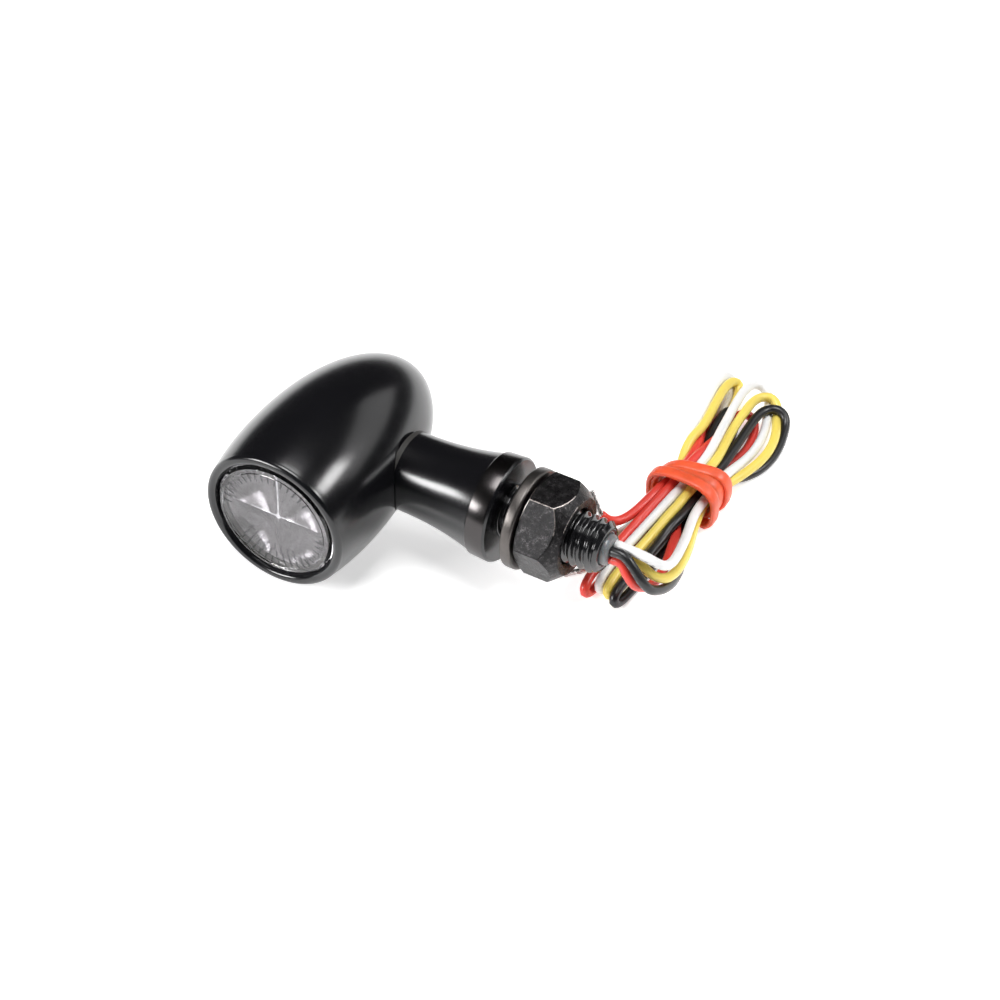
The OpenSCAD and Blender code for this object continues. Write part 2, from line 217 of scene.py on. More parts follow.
def fillet(points, corners, count=5):
    """Rounds the listed corners of a line of points. corners is {index: radius}."""
    out = []
    for i, point in enumerate(points):
        radius = corners.get(i)
        if not radius:
            out.append(tuple(point))
            continue
        here = Vector(point)
        back = (Vector(points[i - 1]) - here).normalized()
        ahead = (Vector(points[i + 1]) - here).normalized()
        half = back.angle(ahead) / 2
        reach = radius / math.tan(half)
        start, end = here + back * reach, here + ahead * reach
        for k in range(count + 1):
            t = k / count
            q = start * (1 - t) ** 2 + here * 2 * t * (1 - t) + end * t**2
            out.append(tuple(q))
    return out


def smooth_by_angle(obj, degrees=30):
    """Shades an object smooth, apart from its sharp edges."""
    select_only(obj)
    bpy.ops.object.shade_smooth_by_angle(angle=math.radians(degrees))


def finished(obj, body, materials, nodes=()):
    """Gives a piece its materials and body, and hides the CAD nodes that it stands for."""
    kept = [face.material_index for face in obj.data.polygons]
    obj.data.materials.clear()
    for material in materials:
        obj.data.materials.append(material)
    if len(materials) > 1:
        obj.data.polygons.foreach_set("material_index", kept)
    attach(obj, body)
    if nodes:
        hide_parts(*nodes)
    return obj


def mesh_object(name, points, faces):
    """A mesh object from points and faces."""
    mesh = bpy.data.meshes.new(name)
    mesh.from_pydata([tuple(p) for p in points], [], faces)
    obj = bpy.data.objects.new(name, mesh)
    bpy.context.scene.collection.objects.link(obj)
    return obj


def smooth_path(points, step):
    """A smooth curve through points, cut into even steps."""
    p = np.array(points, float)
    p = np.vstack([2 * p[0] - p[1], p, 2 * p[-1] - p[-2]])
    out = []
    for a, b, c, d in zip(p, p[1:], p[2:], p[3:]):
        gaps = [max(np.linalg.norm(v - u), 1e-6) ** 0.5 for u, v in ((a, b), (b, c), (c, d))]
        t0, t1, t2, t3 = 0, gaps[0], gaps[0] + gaps[1], sum(gaps)
        for t in np.linspace(t1, t2, 24, endpoint=False):
            a1 = (t1 - t) / (t1 - t0) * a + (t - t0) / (t1 - t0) * b
            a2 = (t2 - t) / (t2 - t1) * b + (t - t1) / (t2 - t1) * c
            a3 = (t3 - t) / (t3 - t2) * c + (t - t2) / (t3 - t2) * d
            b1 = (t2 - t) / (t2 - t0) * a1 + (t - t0) / (t2 - t0) * a2
            b2 = (t3 - t) / (t3 - t1) * a2 + (t - t1) / (t3 - t1) * a3
            out.append((t2 - t) / (t2 - t1) * b1 + (t - t1) / (t2 - t1) * b2)
    return even_steps(np.array(out + [p[-2]]), step)


def even_steps(p, step):
    """The same line cut into even steps."""
    run = np.concatenate([[0], np.cumsum(np.linalg.norm(np.diff(p, axis=0), axis=1))])
    marks = np.linspace(0, run[-1], max(2, int(round(run[-1] / step)) + 1))
    return np.stack([np.interp(marks, run, p[:, i]) for i in range(3)], axis=1)


def frames_along(p, start=(0, 0, 1)):
    """Tangent and two sides at each point of a line, turning as little as they can."""
    t = np.gradient(p, axis=0)
    t /= np.linalg.norm(t, axis=1)[:, None]
    side = np.array(start, float)
    sides = []
    for direction in t:
        side = side - direction * (side @ direction)
        side /= np.linalg.norm(side)
        sides.append(side)
    sides = np.array(sides)
    return t, sides, np.cross(t, sides)


def tube(name, path, radius, around=16, ends=0.12):
    """A round tube along a path in metres, with rounded ends and a UV map in millimetres."""
    p = np.array(path, float)
    _, u, v = frames_along(p)
    radii = np.full(len(p), radius)
    p = np.vstack([p[:1], p, p[-1:]])
    u, v = np.vstack([u[:1], u, u[-1:]]), np.vstack([v[:1], v, v[-1:]])
    radii = np.concatenate([[radius * (1 - ends)], radii, [radius * (1 - ends)]])
    p[1] += (p[2] - p[1]) * 0.3
    p[-2] -= (p[-2] - p[-3]) * 0.3
    angles = np.arange(around) * math.tau / around
    ring = np.cos(angles)[None, :, None] * u[:, None] + np.sin(angles)[None, :, None] * v[:, None]
    points = (p[:, None] + radii[:, None, None] * ring).reshape(-1, 3)
    faces = [
        (i * around + k, i * around + (k + 1) % around,
         (i + 1) * around + (k + 1) % around, (i + 1) * around + k)
        for i in range(len(p) - 1)
        for k in range(around)
    ]
    last = (len(p) - 1) * around
    faces.append(tuple(range(around - 1, -1, -1)))
    faces.append(tuple(last + k for k in range(around)))
    obj = mesh_object(name, points, faces)
    layer = obj.data.uv_layers.new(name="UVMap")
    run = np.concatenate([[0], np.cumsum(np.linalg.norm(np.diff(p, axis=0), axis=1))]) / MM
    for face in obj.data.polygons:
        for k, loop in enumerate(face.loop_indices):
            ring_index, spot = divmod(obj.data.loops[loop].vertex_index, around)
            turn = spot + (around if len(face.vertices) == 4 and k in (1, 2) and spot == 0 else 0)
            layer.data[loop].uv = (turn / around, run[ring_index])
    obj.data.shade_smooth()
    return obj


# ---------------------------------------------------------------- materials


def group(name, inputs, outputs):
    """A new shader group with named sockets. Returns its tree, inputs and outputs."""
    tree = bpy.data.node_groups.new(name, "ShaderNodeTree")
    for label, kind, default in inputs:
        socket = tree.interface.new_socket(label, in_out="INPUT", socket_type=kind)
        if default is not None:
            socket.default_value = default
    for label, kind in outputs:
        tree.interface.new_socket(label, in_out="OUTPUT", socket_type=kind)
    return tree, tree.nodes.new("NodeGroupInput"), tree.nodes.new("NodeGroupOutput")


FLOAT, COLOUR, VECTOR = "NodeSocketFloat", "NodeSocketColor", "NodeSocketVector"


def put(tree, kind, links=(), **values):
    """Adds a node. links is {input: socket}; values set its properties or its inputs."""
    node = tree.nodes.new(kind)
    for key, value in values.items():
        if hasattr(node, key):
            setattr(node, key, value)
        else:
            node.inputs[key.replace("_", " ")].default_value = value
    for key, socket in dict(links).items():
        tree.links.new(socket, node.inputs[key])
    return node


def maths(tree, operation, a, b=None, c=None, clamp=False):
    """A Math node of sockets or plain numbers; returns its output."""
    node = tree.nodes.new("ShaderNodeMath")
    node.operation = operation
    node.use_clamp = clamp
    for i, value in enumerate((a, b, c)):
        if isinstance(value, (int, float)):
            node.inputs[i].default_value = value
        elif value is not None:
            tree.links.new(value, node.inputs[i])
    return node.outputs[0]


def ranged(tree, value, low, high, to_low=0.0, to_high=1.0):
    """Maps a value smoothly from one range to another; returns the output."""
    node = tree.nodes.new("ShaderNodeMapRange")
    node.interpolation_type = "SMOOTHSTEP"
    tree.links.new(value, node.inputs["Value"])
    for i, number in enumerate((low, high, to_low, to_high)):
        socket = node.inputs[i + 1]
        if isinstance(number, (int, float)):
            socket.default_value = number
        else:
            tree.links.new(number, socket)
    return node.outputs["Result"]


def grain_group():
    """Soft unevenness of tint and roughness, for every finish."""
    tree, given, result = group(
        "Grain",
        (("Vector", VECTOR, None), ("Colour", COLOUR, None), ("Scale", FLOAT, 400.0),
         ("Tint", FLOAT, 0.15), ("Rough", FLOAT, 0.4), ("Spread", FLOAT, 0.1)),
        (("Colour", COLOUR), ("Roughness", FLOAT), ("Height", FLOAT)),
    )
    broad = put(tree, "ShaderNodeTexNoise", {"Vector": given.outputs["Vector"],
                "Scale": given.outputs["Scale"]}, Detail=4.0, Roughness=0.6)
    fine_scale = maths(tree, "MULTIPLY", given.outputs["Scale"], 9.0)
    fine = put(tree, "ShaderNodeTexNoise", {"Vector": given.outputs["Vector"],
               "Scale": fine_scale}, Detail=2.0)
    shift = maths(tree, "SUBTRACT", broad.outputs["Fac"], 0.5)
    bright = maths(tree, "MULTIPLY_ADD", maths(tree, "MULTIPLY", shift, 2.0),
                   given.outputs["Tint"], 1.0)
    hue = put(tree, "ShaderNodeHueSaturation", {"Color": given.outputs["Colour"],
              "Value": bright})
    both = maths(tree, "ADD", shift, maths(tree, "SUBTRACT", fine.outputs["Fac"], 0.5))
    rough = maths(tree, "MULTIPLY_ADD", both, given.outputs["Spread"], given.outputs["Rough"])
    tree.links.new(hue.outputs["Color"], result.inputs["Colour"])
    tree.links.new(rough, result.inputs["Roughness"])
    tree.links.new(fine.outputs["Fac"], result.inputs["Height"])
    return tree


def brushing_group():
    """Fine turning lines; stretch the vector across the lines before it comes in."""
    tree, given, result = group(
        "Brushing",
        (("Vector", VECTOR, None), ("Strength", FLOAT, 1.0)),
        (("Height", FLOAT), ("Mask", FLOAT)),
    )
    lines = put(tree, "ShaderNodeTexNoise", {"Vector": given.outputs["Vector"]},
                Scale=1.0, Detail=5.0, Roughness=0.75)
    centred = maths(tree, "SUBTRACT", lines.outputs["Fac"], 0.5)
    tree.links.new(maths(tree, "MULTIPLY", centred, given.outputs["Strength"]),
                   result.inputs["Height"])
    tree.links.new(ranged(tree, lines.outputs["Fac"], 0.35, 0.7), result.inputs["Mask"])
    return tree


def specks_group():
    """Small scattered spots, for dust and for bright points of a coarse finish."""
    tree, given, result = group(
        "Specks",
        (("Vector", VECTOR, None), ("Scale", FLOAT, 900.0), ("Size", FLOAT, 0.2),
         ("Share", FLOAT, 0.1)),
        (("Mask", FLOAT),),
    )
    cells = put(tree, "ShaderNodeTexVoronoi", {"Vector": given.outputs["Vector"],
                "Scale": given.outputs["Scale"]})
    near = ranged(tree, cells.outputs["Distance"], given.outputs["Size"], 0.0)
    pick = put(tree, "ShaderNodeSeparateColor", {"Color": cells.outputs["Color"]})
    chosen = maths(tree, "LESS_THAN", pick.outputs[0], given.outputs["Share"])
    tree.links.new(maths(tree, "MULTIPLY", near, chosen), result.inputs["Mask"])
    return tree


def build_groups():
    """The shared groups, made once."""
    for name, make in (("Grain", grain_group), ("Brushing", brushing_group),
                       ("Specks", specks_group)):
        if name not in bpy.data.node_groups:
            make()


def use(tree, name, links=(), **values):
    """Places a shared group with its own values."""
    node = tree.nodes.new("ShaderNodeGroup")
    node.node_tree = bpy.data.node_groups[name]
    for key, value in values.items():
        node.inputs[key].default_value = value
    for key, socket in dict(links).items():
        tree.links.new(socket, node.inputs[key])
    return node


def place_vector(tree, location=(0, 0, 0), scale=(1, 1, 1)):
    """Object coordinates measured from location, stretched by scale."""
    coordinates = tree.nodes.new("ShaderNodeTexCoord")
    mapping = put(tree, "ShaderNodeMapping", {"Vector": coordinates.outputs["Object"]})
    mapping.inputs["Scale"].default_value = scale
    mapping.inputs["Location"].default_value = [-a * b for a, b in zip(location, scale)]
    return mapping.outputs["Vector"]


def material(name, colour, rough, metal=0.0, scale=400.0, tint=0.15, spread=0.08,
             bump=0.0, **constants):
    """A finish with soft unevenness. Returns the material, its tree, shader, grain and bump."""
    made = bpy.data.materials.new(name)
    made.use_nodes = True
    tree = made.node_tree
    shader = tree.nodes["Principled BSDF"]
    made.diffuse_color = (*colour, 1)
    grain = use(tree, "Grain", {"Vector": place_vector(tree)}, Colour=(*colour, 1), Scale=scale,
                Tint=tint, Rough=rough, Spread=spread)
    tree.links.new(grain.outputs["Colour"], shader.inputs["Base Color"])
    tree.links.new(grain.outputs["Roughness"], shader.inputs["Roughness"])
    shader.inputs["Metallic"].default_value = metal
    for key, value in constants.items():
        shader.inputs[key.replace("_", " ")].default_value = value
    relief = put(tree, "ShaderNodeBump", {"Height": grain.outputs["Height"]}, Strength=bump)
    relief.inputs["Distance"].default_value = 0.02 * MM
    if bump:
        tree.links.new(relief.outputs["Normal"], shader.inputs["Normal"])
    return made, tree, shader, grain, relief


def mixed(tree, mask, low, high):
    """A colour between two, by a mask; returns the output."""
    node = put(tree, "ShaderNodeMix", data_type="RGBA")
    tree.links.new(mask, node.inputs["Factor"])
    for key, value in (("A", low), ("B", high)):
        socket = [s for s in node.inputs if s.name == key and s.type == "RGBA"][0]
        if isinstance(value, (tuple, list)):
            socket.default_value = (*value, 1)
        else:
            tree.links.new(value, socket)
    return [s for s in node.outputs if s.type == "RGBA"][0]


def gloss_black(name, lines_along, colour, metal=0.0, rough=0.2):
    """Polished black with faint turning lines round the piece and a few specks of dust."""
    made, tree, shader, grain, relief = material(
        name, colour, rough, metal, scale=60.0, tint=0.3, spread=0.05, IOR=1.53)
    stretch = [9000 if axis else 25 for axis in lines_along]
    brushing = use(tree, "Brushing", {"Vector": place_vector(tree, scale=stretch)}, Strength=1.0)
    tree.links.new(brushing.outputs["Height"], relief.inputs["Height"])
    relief.inputs["Strength"].default_value = 0.35
    relief.inputs["Distance"].default_value = 0.004 * MM
    tree.links.new(relief.outputs["Normal"], shader.inputs["Normal"])
    dust = use(tree, "Specks", {"Vector": place_vector(tree)}, Scale=420.0, Size=0.07, Share=0.06)
    colour_out = mixed(tree, dust.outputs["Mask"], grain.outputs["Colour"], (0.30, 0.30, 0.29))
    tree.links.new(colour_out, shader.inputs["Base Color"])
    return made


def speckled_black(name, colour, shine):
    """Black oxide over a rough forged surface: fine low speckle with a few bright points."""
    made, tree, shader, grain, relief = material(
        name, colour, 0.3, metal=shine, scale=900.0, tint=0.6, spread=0.3, IOR=1.33)
    fine = put(tree, "ShaderNodeTexNoise", {"Vector": place_vector(tree)}, Scale=7000.0,
               Detail=3.0, Roughness=0.7)
    broad = put(tree, "ShaderNodeTexNoise", {"Vector": place_vector(tree)}, Scale=1300.0,
                Detail=4.0, Roughness=0.7)
    height = maths(tree, "ADD", fine.outputs["Fac"], maths(
        tree, "MULTIPLY", broad.outputs["Fac"], 1.5))
    tree.links.new(height, relief.inputs["Height"])
    relief.inputs["Strength"].default_value = 0.7
    relief.inputs["Distance"].default_value = 0.05 * MM
    tree.links.new(relief.outputs["Normal"], shader.inputs["Normal"])
    bright = ranged(tree, maths(tree, "MULTIPLY", fine.outputs["Fac"], broad.outputs["Fac"]),
                    0.25, 0.42)
    colour_out = mixed(tree, bright, grain.outputs["Colour"], (0.10, 0.094, 0.097))
    tree.links.new(colour_out, shader.inputs["Base Color"])
    return made


def lead_material(name, colour, marks, mark_share):
    """Smooth insulation with short printed dashes along one side."""
    made, tree, shader, grain, _ = material(
        name, colour, 0.32, scale=260.0, tint=0.1, spread=0.12, bump=0.12, IOR=1.5)
    uv = put(tree, "ShaderNodeUVMap", uv_map="UVMap")
    split = put(tree, "ShaderNodeSeparateXYZ", {"Vector": uv.outputs["UV"]})
    across = maths(tree, "ABSOLUTE", maths(tree, "SUBTRACT", split.outputs["X"], 0.3))
    band = ranged(tree, across, 0.06, 0.045)
    word = maths(tree, "FRACT", maths(tree, "DIVIDE", split.outputs["Y"], 24.0))
    in_word = maths(tree, "LESS_THAN", word, 0.3)
    dash = maths(tree, "FRACT", maths(tree, "DIVIDE", split.outputs["Y"], 1.15))
    in_dash = maths(tree, "LESS_THAN", dash, 0.42)
    mask = maths(tree, "MULTIPLY", maths(tree, "MULTIPLY", band, in_word), in_dash)
    mask = maths(tree, "MULTIPLY", mask, mark_share)
    tree.links.new(mixed(tree, mask, grain.outputs["Colour"], marks), shader.inputs["Base Color"])
    return made


def optic_material():
    """Smoky reflector bowls, mottled and scratched, with painted highlights along the ridges where
    they meet.
    """
    made, tree, shader, grain, _ = material(
        "smoky optic", (0.215, 0.204, 0.21), 0.2, metal=0.4, scale=900.0, tint=0.55, spread=0.2,
        bump=0.25)
    scratches = use(tree, "Specks", {"Vector": place_vector(tree, scale=(1, 1, 0.2))},
                    Scale=1500.0, Size=0.3, Share=0.12)
    mottle = put(tree, "ShaderNodeTexNoise", {"Vector": place_vector(tree)}, Scale=1100.0,
                 Detail=6.0, Roughness=0.8, Distortion=1.5)
    dark = ranged(tree, mottle.outputs["Fac"], 0.60, 0.44)
    dull = maths(tree, "MAXIMUM", scratches.outputs["Mask"], maths(tree, "MULTIPLY", dark, 0.75))
    grit = put(tree, "ShaderNodeTexNoise", {"Vector": place_vector(tree)}, Scale=2800.0,
               Detail=3.0, Roughness=0.8)
    pits = maths(tree, "MULTIPLY", ranged(tree, grit.outputs["Fac"], 0.55, 0.42), 0.9)
    dull = maths(tree, "MAXIMUM", dull, pits)
    under = mixed(tree, dull, grain.outputs["Colour"], (0.062, 0.058, 0.062))
    split = put(tree, "ShaderNodeSeparateXYZ", {"Vector": place_vector(tree, (HOUSING_X, 0, 0))})
    side = maths(tree, "ABSOLUTE", split.outputs["X"])
    rise = maths(tree, "ABSOLUTE", split.outputs["Z"])
    # painted highlights: thin bright lines up the upright ridge and along the level one, and a
    # small painted highlight star where they cross
    upright = maths(tree, "MULTIPLY", ranged(tree, side, 0.2 * MM, 0.06 * MM),
                    ranged(tree, split.outputs["Z"], -1.6 * MM, 0.2 * MM))
    level = maths(tree, "MULTIPLY", ranged(tree, rise, 0.16 * MM, 0.04 * MM),
                  ranged(tree, side, 6.0 * MM, 1.0 * MM))
    star = ranged(tree, maths(tree, "ADD", side, rise), 0.75 * MM, 0.3 * MM)
    ridge_highlight = maths(tree, "MAXIMUM", maths(tree, "MAXIMUM", level, upright), star)
    ridge_highlight = maths(tree, "MULTIPLY", ridge_highlight, ranged(tree, mottle.outputs["Fac"], 0.34, 0.52))
    # the ridge lines and the star take a near-white colour: painted highlight
    colour_out = mixed(tree, ridge_highlight, under, (0.95, 0.95, 0.97))
    tree.links.new(colour_out, shader.inputs["Base Color"])
    return made


def lens_material():
    """Clear smoky lens with a ring of short moulded marks near its edge."""
    made, tree, shader, grain, relief = material(
        "smoked lens", (0.84, 0.83, 0.845), 0.03, scale=300.0, tint=0.05, spread=0.03,
        Transmission_Weight=1.0, IOR=1.46)
    centre = (HOUSING_X, 0, 0)
    split = put(tree, "ShaderNodeSeparateXYZ", {"Vector": place_vector(tree, centre)})
    radius = maths(tree, "SQRT", maths(
        tree, "ADD", maths(tree, "POWER", split.outputs["X"], 2.0),
        maths(tree, "POWER", split.outputs["Z"], 2.0)))
    turn = maths(tree, "ARCTAN2", split.outputs["Z"], split.outputs["X"])
    inner = ranged(tree, radius, 6.75 * MM, 6.95 * MM)
    outer = ranged(tree, radius, 8.35 * MM, 8.15 * MM)
    tick_count = 44
    tick = maths(tree, "FRACT", maths(tree, "MULTIPLY", turn, tick_count / math.tau))
    bar = maths(tree, "LESS_THAN", maths(tree, "ABSOLUTE", maths(tree, "SUBTRACT", tick, 0.5)),
                0.13)
    spans = maths(tree, "LESS_THAN", maths(
        tree, "SINE", maths(tree, "MULTIPLY_ADD", turn, 2.0, 0.9)), 0.75)
    mask = maths(tree, "MULTIPLY", maths(tree, "MULTIPLY", inner, outer),
                 maths(tree, "MULTIPLY", bar, spans))
    colour_out = mixed(tree, mask, grain.outputs["Colour"], (0.13, 0.13, 0.14))
    tree.links.new(colour_out, shader.inputs["Base Color"])
    rays = tree.nodes.new("ShaderNodeLightPath")
    through = maths(tree, "MULTIPLY", rays.outputs["Is Shadow Ray"], 0.85)
    tree.links.new(maths(tree, "SUBTRACT", 1.0, through), shader.inputs["Alpha"])
    tree.links.new(mask, relief.inputs["Height"])
    relief.inputs["Strength"].default_value = 0.6
    relief.inputs["Distance"].default_value = 0.05 * MM
    tree.links.new(relief.outputs["Normal"], shader.inputs["Normal"])
    return made


def simple(name, colour, rough, metal=0.0, **more):
    """A finish that needs nothing beyond its grain."""
    return material(name, colour, rough, metal, **more)[0]


# ---------------------------------------------------------------- settings


class SignalSizes(bpy.types.PropertyGroup):
    """Sizes that a user may change."""

    lead_diameter: bpy.props.FloatProperty(
        name="Lead diameter", description="Outside diameter of each lead",
        default=1.4 * MM, subtype="DISTANCE", unit="LENGTH")
    strand_diameter: bpy.props.FloatProperty(
        name="Bare end diameter", description="Diameter of a lead's tinned strands",
        default=0.9 * MM, subtype="DISTANCE", unit="LENGTH")
    thread_depth: bpy.props.FloatProperty(
        name="Thread depth", description="Depth of the stud's thread",
        default=0.62 * MM, subtype="DISTANCE", unit="LENGTH")
    band_width: bpy.props.FloatProperty(
        name="Band width", description="Width of the rubber band",
        default=1.9 * MM, subtype="DISTANCE", unit="LENGTH")
    band_thickness: bpy.props.FloatProperty(
        name="Band thickness", description="Thickness of the rubber band",
        default=0.8 * MM, subtype="DISTANCE", unit="LENGTH")


class SignalColours(bpy.types.PropertyGroup):
    """Colours that a user may change."""

    body: bpy.props.FloatVectorProperty(
        name="Body", description="Colour of the housing and the stem",
        default=(0.004, 0.004, 0.005), subtype="COLOR", min=0, max=1)
    yellow: bpy.props.FloatVectorProperty(
        name="Yellow lead", description="Colour of the yellow lead",
        default=(0.80, 0.63, 0.12), subtype="COLOR", min=0, max=1)
    red: bpy.props.FloatVectorProperty(
        name="Red lead", description="Colour of the red lead",
        default=(0.70, 0.055, 0.04), subtype="COLOR", min=0, max=1)
    band: bpy.props.FloatVectorProperty(
        name="Rubber band", description="Colour of the rubber band",
        default=(0.78, 0.10, 0.035), subtype="COLOR", min=0, max=1)
    floor: bpy.props.FloatVectorProperty(
        name="Floor", description="Colour of the floor",
        default=(0.90, 0.90, 0.90), subtype="COLOR", min=0, max=1)


# ---------------------------------------------------------------- leads


def spread_apart(lines, gap, low):
    """Eases lines of points apart until none comes within gap of another or of itself."""
    p = np.vstack(lines)
    owner = np.concatenate([np.full(len(line), i) for i, line in enumerate(lines)])
    order = np.concatenate([np.arange(len(line)) for line in lines])
    count = np.array([len(line) for line in lines])[owner]
    held_first, held_last, ramp = 14, 6, 10  # points that stay put, and the ease after them
    free = np.minimum(order - held_first, count - held_last - order) / ramp
    free = np.clip(free, 0, 1)[:, None]
    step = np.linalg.norm(lines[0][1] - lines[0][0])
    near = (owner[:, None] == owner[None]) & (
        np.abs(order[:, None] - order[None]) < 3 * gap / step)
    start = p.copy()
    for _ in range(60):
        delta = p[:, None] - p[None]
        far = np.linalg.norm(delta, axis=2)
        far[near] = 9.0
        short = np.clip(gap - far, 0, None)
        push = (delta / np.maximum(far, 1e-6)[..., None] * short[..., None]).sum(1)
        hits = np.maximum((short > 0).sum(1), 1)[:, None]
        p += free * push / hits * 0.6
        for i in range(len(lines)):
            mine = owner == i
            q = p[mine]
            q[1:-1] += 0.12 * free[mine][1:-1] * (q[:-2] + q[2:] - 2 * q[1:-1])
            p[mine] = q
        p += free * (start - p) * 0.01
        p[:, 2] = np.maximum(p[:, 2], low)
    return [p[owner == i] for i in range(len(lines))]


LEAD_LOOKS = {
    "white": ((0.80, 0.80, 0.795), (0.35, 0.35, 0.36)),
    "yellow": (None, (0.16, 0.13, 0.05)),
    "black": ((0.012, 0.012, 0.013), (0.10, 0.10, 0.10)),
    "red": (None, (0.40, 0.02, 0.02)),
}


class SIGNAL_OT_leads(bpy.types.Operator):
    """Lays the four leads from the stud through the tied hank to their bare ends"""

    bl_idname = "signal.leads"
    bl_label = "Leads"

    def execute(self, context):
        sizes, colours = context.scene.signal_sizes, context.scene.signal_colours
        names = list(ROUTES)
        lines = [smooth_path(ROUTES[n], 0.6) for n in names]
        diameter = sizes.lead_diameter / MM
        lines = spread_apart(lines, diameter + 0.02, FLOOR_Z / MM + diameter / 2)
        tin = simple("tinned copper", (0.62, 0.61, 0.60), 0.3, 1.0, scale=1500.0, tint=0.4,
                     spread=0.3)
        for name, line in zip(names, lines):
            path = even_steps(line, 0.5) * MM
            lead = tube(f"lead_{name}_insulation", path, sizes.lead_diameter / 2)
            colour, marks = LEAD_LOOKS[name]
            colour = colour or tuple(getattr(colours, name))
            finish = lead_material(f"{name} insulation", colour, marks, 0.75)
            finished(lead, "root", [finish], [f"lead_{name}", "lead_hank"])
            strands = self.strands(name, path, sizes)
            finished(strands, "root", [tin], [f"tinned_end_{name}"])
        return {"FINISHED"}

    def strands(self, name, path, sizes):
        """The tinned strands of one lead: six twisted round a seventh."""
        root, tip = path[-1], np.array(TIPS[name]) * MM
        inner = path[-3]
        heading = (tip - root) / np.linalg.norm(tip - root)
        step, lay = 0.2, 4.2  # distance between rings, and length of one twist
        centre = even_steps(np.array([inner, root, tip]), step * MM)
        wire = sizes.strand_diameter / 6.2
        _, u, v = frames_along(centre, (0.3, 0.2, 1))
        made = [tube("strand", centre, wire, 8)]
        for k in range(6):
            turn = k * math.tau / 6 + np.arange(len(centre)) * step / lay * math.tau
            splay = 1.95 + 0.5 * np.clip(np.linspace(-1.2, 1, len(centre)), 0, 1) ** 2
            splay *= 1 + 0.12 * math.sin(2.1 * k + len(name))
            offset = (wire * splay)[:, None] * (
                np.cos(turn)[:, None] * u + np.sin(turn)[:, None] * v)
            spare = heading * wire * 1.2 * math.sin(3 * k + len(name))
            line = centre + offset
            line[-4:] -= abs(spare) * np.sign(heading) * np.linspace(0, 1, 4)[:, None]
            line[:, 2] = np.maximum(line[:, 2], FLOOR_Z + wire)
            made.append(tube("strand", line, wire, 8))
        select_only(made[0])
        for obj in made[1:]:
            obj.select_set(True)
        bpy.ops.object.join()
        made[0].name = f"tinned_strands_{name}"
        return made[0]


class SIGNAL_OT_band(bpy.types.Operator):
    """Winds the rubber band round the hank: four turns that fan out and cross"""

    bl_idname = "signal.band"
    bl_label = "Rubber band"

    def execute(self, context):
        sizes, colours = context.scene.signal_sizes, context.scene.signal_colours
        centre_x, centre_z, half_x, half_z = 15.4, -8.5, 3.95, 2.6
        # place along Y and lift at the right and the left of each turn
        along = (22.4, 22.9, 26.9, 24.6, 25.2, 23.7, 23.9, 23.2)
        lift = (0.95, 0.95, 0.75, 0.2, 0.25, 0.3, 0.15, 0.45)
        turns, per_turn = 4, 72
        count = turns * per_turn
        place = np.arange(count) / per_turn * 2
        index = place.astype(int)
        part = place - index
        ease = (1 - np.cos(np.pi * part)) / 2
        values = [np.array(v)[index % 8] * (1 - ease) + np.array(v)[(index + 1) % 8] * ease
                  for v in (along, lift)]
        angle = place * math.pi
        power = 2 / 2.9
        grow = values[1] + sizes.band_thickness / MM / 2 + 0.05
        x = centre_x + (half_x + grow) * np.sign(np.cos(angle)) * np.abs(np.cos(angle)) ** power
        z = centre_z + (half_z + grow) * np.sign(np.sin(angle)) * np.abs(np.sin(angle)) ** power
        z = np.maximum(z, FLOOR_Z / MM + sizes.band_thickness / MM / 2)
        line = np.stack([x, values[0], z], axis=1)
        closed = even_steps(np.vstack([line, line[:1]]), 0.25)[:-1]
        ahead = np.roll(closed, -1, 0) - np.roll(closed, 1, 0)
        ahead /= np.linalg.norm(ahead, axis=1)[:, None]
        out = closed - np.array([centre_x, 0, centre_z])
        out[:, 1] = 0
        out -= ahead * (out * ahead).sum(1)[:, None]
        out /= np.linalg.norm(out, axis=1)[:, None]
        side = np.cross(ahead, out)
        around = 20
        spin = np.arange(around) * math.tau / around
        wide = np.sign(np.cos(spin)) * np.abs(np.cos(spin)) ** 0.55 * sizes.band_width / MM / 2
        thick = np.sign(np.sin(spin)) * np.abs(np.sin(spin)) ** 0.7 * sizes.band_thickness / MM / 2
        points = (closed[:, None] + wide[None, :, None] * side[:, None]
                  + thick[None, :, None] * out[:, None]).reshape(-1, 3) * MM
        points[:, 2] = np.maximum(points[:, 2], FLOOR_Z)
        total = len(closed)
        faces = [
            (i * around + k, i * around + (k + 1) % around,
             (i + 1) % total * around + (k + 1) % around, (i + 1) % total * around + k)
            for i in range(total) for k in range(around)
        ]
        band = mesh_object("rubber_band_wraps", points, faces)
        select_only(band)
        bpy.ops.object.mode_set(mode="EDIT")
        bpy.ops.mesh.select_all(action="SELECT")
        bpy.ops.mesh.normals_make_consistent(inside=False)
        bpy.ops.object.mode_set(mode="OBJECT")
        band.data.shade_smooth()
        made, _, shader, _, _ = material(
            "band rubber", tuple(colours.band), 0.38, scale=350.0, tint=0.35, spread=0.2,
            bump=0.35, Subsurface_Weight=0.3, Subsurface_Scale=0.0012)
        shader.inputs["Subsurface Radius"].default_value = (1.0, 0.25, 0.1)
        finished(band, "root", [made], ["rubber_band"])
        return {"FINISHED"}


# ---------------------------------------------------------------- hard pieces


def body_radius(y):
    """Outside radius of the housing, in millimetres, y measured from the stem's axis."""
    past = y - BELLY_Y
    if past > 0:
        return BELLY_RADIUS * math.sqrt(max(0, 1 - (past / TAIL_REACH) ** 2.1))
    return BELLY_RADIUS - 0.0101 * past**2


